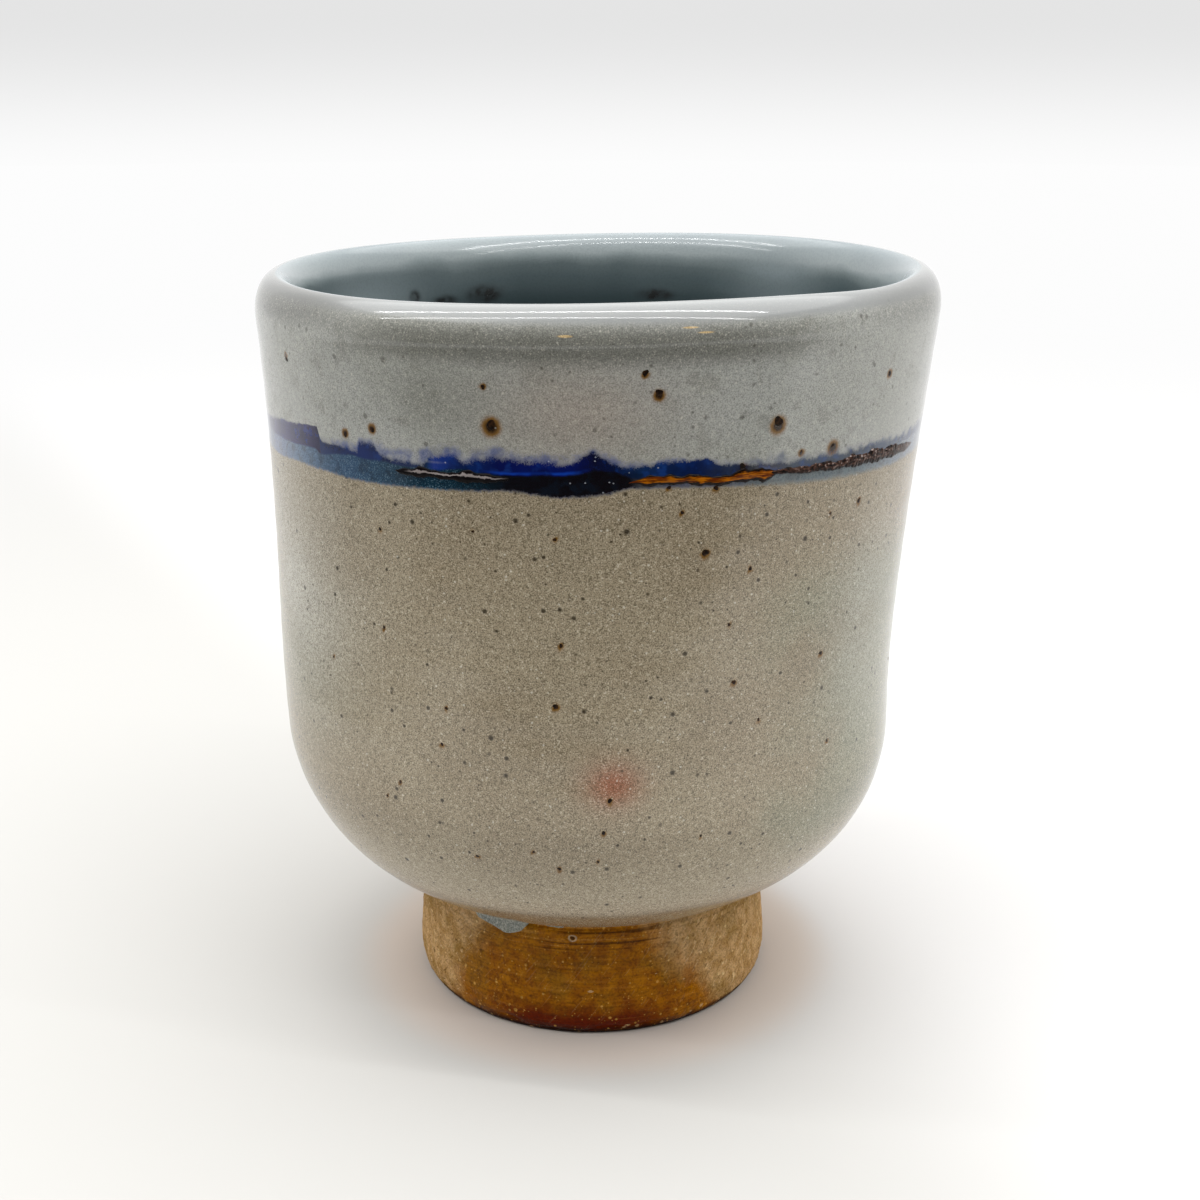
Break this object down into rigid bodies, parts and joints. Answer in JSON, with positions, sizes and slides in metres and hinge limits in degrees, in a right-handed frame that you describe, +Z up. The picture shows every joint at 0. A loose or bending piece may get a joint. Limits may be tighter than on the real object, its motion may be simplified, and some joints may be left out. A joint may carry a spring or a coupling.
{
  "type": "tea bowl",
  "caption": "Tall stoneware tea bowl with a tapered lip, rounded belly and bare turned foot, glazed grey with a blue band under the rim.",
  "frame": {"origin": "centre of the foot on the surface that the bowl stands on", "axes": "+Z up along the axis of turning, -Y towards the pictured front, +X to its right"},
  "size_m": [0.0796, 0.0796, 0.09],
  "materials": {
    "stoneware": "matt bare stoneware, covered by glaze",
    "foot_clay": "bare grogged stoneware, toasted tan-brown",
    "liner_glaze": "glossy blue-grey glaze",
    "rim_glaze": "glossy lavender-grey glaze with iron spots",
    "cobalt_band": "cobalt blue bleeding into the glaze",
    "amber_line": "glassy amber",
    "iron_line": "dark iron brown",
    "body_glaze": "satin warm grey celadon with fine grain",
    "iron_spots": "dark iron spots melted into the glaze",
    "amber_wash": "thin glassy amber wash",
    "glaze_runs": "thick grey runs of glaze"
  },
  "bodies": {
    "root": {"bowl_wall": "stoneware", "foot_ring": "foot_clay", "liner_glaze": "liner_glaze", "rim_glaze": "rim_glaze", "blue_band": "cobalt_band", "amber_line": "amber_line", "iron_line": "iron_line", "body_glaze": "body_glaze", "iron_spots": "iron_spots", "amber_wash": "amber_wash", "glaze_runs": "glaze_runs"}
  },
  "joints": []
}
